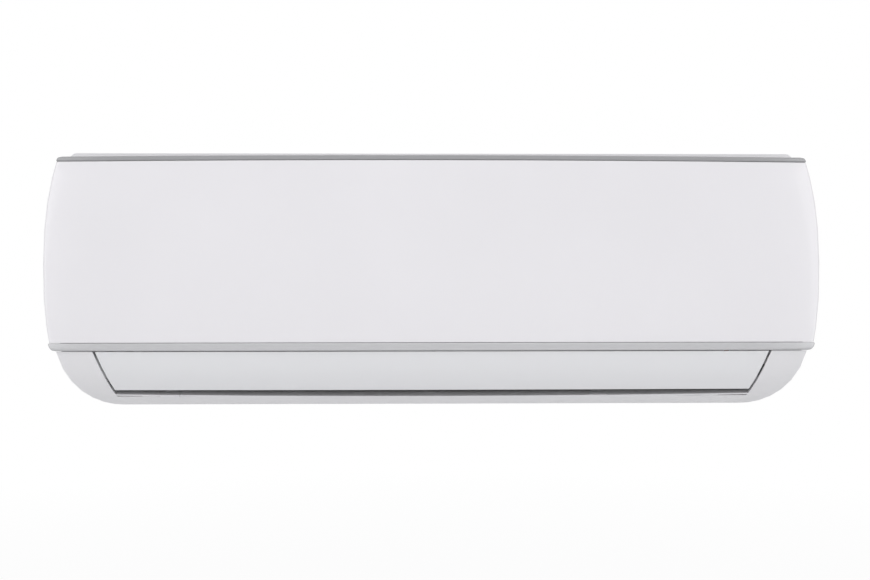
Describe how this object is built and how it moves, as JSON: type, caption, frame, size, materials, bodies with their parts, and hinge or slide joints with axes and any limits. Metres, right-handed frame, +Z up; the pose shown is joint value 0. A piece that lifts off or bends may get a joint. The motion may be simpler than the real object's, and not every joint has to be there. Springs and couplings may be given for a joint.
{
  "type": "mini split indoor unit",
  "caption": "Wall-hung air conditioner indoor unit with a hinged front panel, an outlet louver, vanes, filters, a coil, a cross-flow fan and a wall plate.",
  "frame": {"origin": "centre of the wall plate's back face, on the wall", "axes": "+X along the unit towards the motor end, +Y out of the back into the wall, +Z up; the front faces -Y"},
  "size_m": [0.965, 0.215, 0.32],
  "materials": {
    "panel_white": "glossy white moulding",
    "case_white": "satin white moulding",
    "trim_grey": "metallic grey strip",
    "trim_silver": "silver strip",
    "louver_white": "satin white moulding",
    "duct_plastic": "pale grey moulding",
    "dark_plastic": "dark moulding",
    "filter_net": "blue grey net and frame",
    "aluminium": "bare fins",
    "steel": "zinc coated sheet and shafts",
    "copper": "bare copper tube",
    "brass": "turned brass",
    "rubber": "black rubber",
    "foam": "closed cell foam sleeve",
    "board": "green circuit board"
  },
  "bodies": {
    "unit": {"wall_plate": "steel", "rear_chassis": "case_white", "front_frame": "case_white", "frame_screw_left": "steel", "frame_screw_right": "steel", "louver_motor": "steel", "louver_bearing": "dark_plastic", "evaporator_lower": "aluminium", "evaporator_upper": "aluminium", "evaporator_rear": "aluminium", "coil_end_plate_left": "steel", "coil_end_plate_right": "steel", "drain_pan": "duct_plastic", "drain_spout": "dark_plastic", "drain_plug": "rubber", "fan_bearing": "rubber", "fan_motor": "steel", "motor_clamp": "case_white", "control_box": "case_white", "control_board": "board", "control_box_cover": "case_white", "terminal_block": "dark_plastic", "cable_clamp": "dark_plastic", "receiver_housing": "case_white", "receiver_lens": "dark_plastic", "room_sensor": "copper", "gas_pipe": "copper", "liquid_pipe": "copper", "gas_flare_nut": "brass", "liquid_flare_nut": "brass", "gas_pipe_insulation": "foam", "pipe_clip": "case_white"},
    "panel": {"front_panel": "panel_white", "panel_top_trim": "trim_grey", "panel_bottom_trim": "trim_silver"},
    "louver": {"louver": "louver_white"},
    "fan": {"cross_flow_fan": "duct_plastic", "motor_shaft": "steel"},
    "filter_left": {"filter_left": "filter_net"},
    "filter_right": {"filter_right": "filter_net"},
    "screw_cap_left": {"screw_cap_left": "case_white"},
    "screw_cap_right": {"screw_cap_right": "case_white"},
    "test_button": {"test_button": "case_white"},
    "vane_link_left": {"vane_link_left": "louver_white"},
    "vane_left_1": {"vane_left_1": "louver_white"},
    "vane_left_2": {"vane_left_2": "louver_white"},
    "vane_left_3": {"vane_left_3": "louver_white"},
    "vane_left_4": {"vane_left_4": "louver_white"},
    "vane_left_5": {"vane_left_5": "louver_white"},
    "vane_left_6": {"vane_left_6": "louver_white"},
    "vane_link_right": {"vane_link_right": "louver_white"},
    "vane_right_1": {"vane_right_1": "louver_white"},
    "vane_right_2": {"vane_right_2": "louver_white"},
    "vane_right_3": {"vane_right_3": "louver_white"},
    "vane_right_4": {"vane_right_4": "louver_white"},
    "vane_right_5": {"vane_right_5": "louver_white"},
    "vane_right_6": {"vane_right_6": "louver_white"}
  },
  "joints": [
    {"name": "panel_hinge", "type": "hinge", "parent": "unit", "child": "panel", "pos_m": [0, -0.185, 0.122], "axis": [-1, 0, 0], "range_deg": [0, 55]},
    {"name": "louver_hinge", "type": "hinge", "parent": "unit", "child": "louver", "pos_m": [0, -0.176, -0.144], "axis": [1, 0, 0], "range_deg": [0, 42]},
    {"name": "fan_spin", "type": "hinge", "parent": "unit", "child": "fan", "pos_m": [0, -0.098, -0.047], "axis": [1, 0, 0], "continuous": true},
    {"name": "filter_left_slide", "type": "hinge", "parent": "unit", "child": "filter_left", "pos_m": [0, 0.011, -0.055], "axis": [-1, 0, 0], "range_deg": [0, 4]},
    {"name": "filter_right_slide", "type": "hinge", "parent": "unit", "child": "filter_right", "pos_m": [0, 0.011, -0.055], "axis": [-1, 0, 0], "range_deg": [0, 4]},
    {"name": "screw_cap_left_lift", "type": "slide", "parent": "unit", "child": "screw_cap_left", "axis": [0, -0.3736, 0.9276], "range_m": [0, 0.002]},
    {"name": "screw_cap_right_lift", "type": "slide", "parent": "unit", "child": "screw_cap_right", "axis": [0, -0.3736, 0.9276], "range_m": [0, 0.002]},
    {"name": "test_button_press", "type": "slide", "parent": "unit", "child": "test_button", "axis": [0, 1, 0], "range_m": [0, 0.0012], "stiffness_N_per_m": 250},
    {"name": "vane_link_left_slide", "type": "slide", "parent": "unit", "child": "vane_link_left", "axis": [1, 0, 0], "range_m": [-0.0102, 0.0102]},
    {"name": "vane_left_1_swing", "type": "hinge", "parent": "unit", "child": "vane_left_1", "pos_m": [-0.37, -0.128, -0.14234], "axis": [0, -0.3547, 0.935], "range_deg": [-35, 35]},
    {"name": "vane_left_2_swing", "type": "hinge", "parent": "unit", "child": "vane_left_2", "pos_m": [-0.304, -0.128, -0.14234], "axis": [0, -0.3547, 0.935], "range_deg": [-35, 35]},
    {"name": "vane_left_3_swing", "type": "hinge", "parent": "unit", "child": "vane_left_3", "pos_m": [-0.238, -0.128, -0.14234], "axis": [0, -0.3547, 0.935], "range_deg": [-35, 35]},
    {"name": "vane_left_4_swing", "type": "hinge", "parent": "unit", "child": "vane_left_4", "pos_m": [-0.172, -0.128, -0.14234], "axis": [0, -0.3547, 0.935], "range_deg": [-35, 35]},
    {"name": "vane_left_5_swing", "type": "hinge", "parent": "unit", "child": "vane_left_5", "pos_m": [-0.106, -0.128, -0.14234], "axis": [0, -0.3547, 0.935], "range_deg": [-35, 35]},
    {"name": "vane_left_6_swing", "type": "hinge", "parent": "unit", "child": "vane_left_6", "pos_m": [-0.04, -0.128, -0.14234], "axis": [0, -0.3547, 0.935], "range_deg": [-35, 35]},
    {"name": "vane_link_right_slide", "type": "slide", "parent": "unit", "child": "vane_link_right", "axis": [1, 0, 0], "range_m": [-0.0102, 0.0102]},
    {"name": "vane_right_1_swing", "type": "hinge", "parent": "unit", "child": "vane_right_1", "pos_m": [0.04, -0.128, -0.14234], "axis": [0, -0.3547, 0.935], "range_deg": [-35, 35]},
    {"name": "vane_right_2_swing", "type": "hinge", "parent": "unit", "child": "vane_right_2", "pos_m": [0.106, -0.128, -0.14234], "axis": [0, -0.3547, 0.935], "range_deg": [-35, 35]},
    {"name": "vane_right_3_swing", "type": "hinge", "parent": "unit", "child": "vane_right_3", "pos_m": [0.172, -0.128, -0.14234], "axis": [0, -0.3547, 0.935], "range_deg": [-35, 35]},
    {"name": "vane_right_4_swing", "type": "hinge", "parent": "unit", "child": "vane_right_4", "pos_m": [0.238, -0.128, -0.14234], "axis": [0, -0.3547, 0.935], "range_deg": [-35, 35]},
    {"name": "vane_right_5_swing", "type": "hinge", "parent": "unit", "child": "vane_right_5", "pos_m": [0.304, -0.128, -0.14234], "axis": [0, -0.3547, 0.935], "range_deg": [-35, 35]},
    {"name": "vane_right_6_swing", "type": "hinge", "parent": "unit", "child": "vane_right_6", "pos_m": [0.37, -0.128, -0.14234], "axis": [0, -0.3547, 0.935], "range_deg": [-35, 35]}
  ],
  "couplings": [
    {"joint": "vane_left_1_swing", "follows": "vane_link_left_slide", "rad_per_m": -59.167},
    {"joint": "vane_left_2_swing", "follows": "vane_link_left_slide", "rad_per_m": -59.167},
    {"joint": "vane_left_3_swing", "follows": "vane_link_left_slide", "rad_per_m": -59.167},
    {"joint": "vane_left_4_swing", "follows": "vane_link_left_slide", "rad_per_m": -59.167},
    {"joint": "vane_left_5_swing", "follows": "vane_link_left_slide", "rad_per_m": -59.167},
    {"joint": "vane_left_6_swing", "follows": "vane_link_left_slide", "rad_per_m": -59.167},
    {"joint": "vane_right_1_swing", "follows": "vane_link_right_slide", "rad_per_m": -59.167},
    {"joint": "vane_right_2_swing", "follows": "vane_link_right_slide", "rad_per_m": -59.167},
    {"joint": "vane_right_3_swing", "follows": "vane_link_right_slide", "rad_per_m": -59.167},
    {"joint": "vane_right_4_swing", "follows": "vane_link_right_slide", "rad_per_m": -59.167},
    {"joint": "vane_right_5_swing", "follows": "vane_link_right_slide", "rad_per_m": -59.167},
    {"joint": "vane_right_6_swing", "follows": "vane_link_right_slide", "rad_per_m": -59.167}
  ]
}
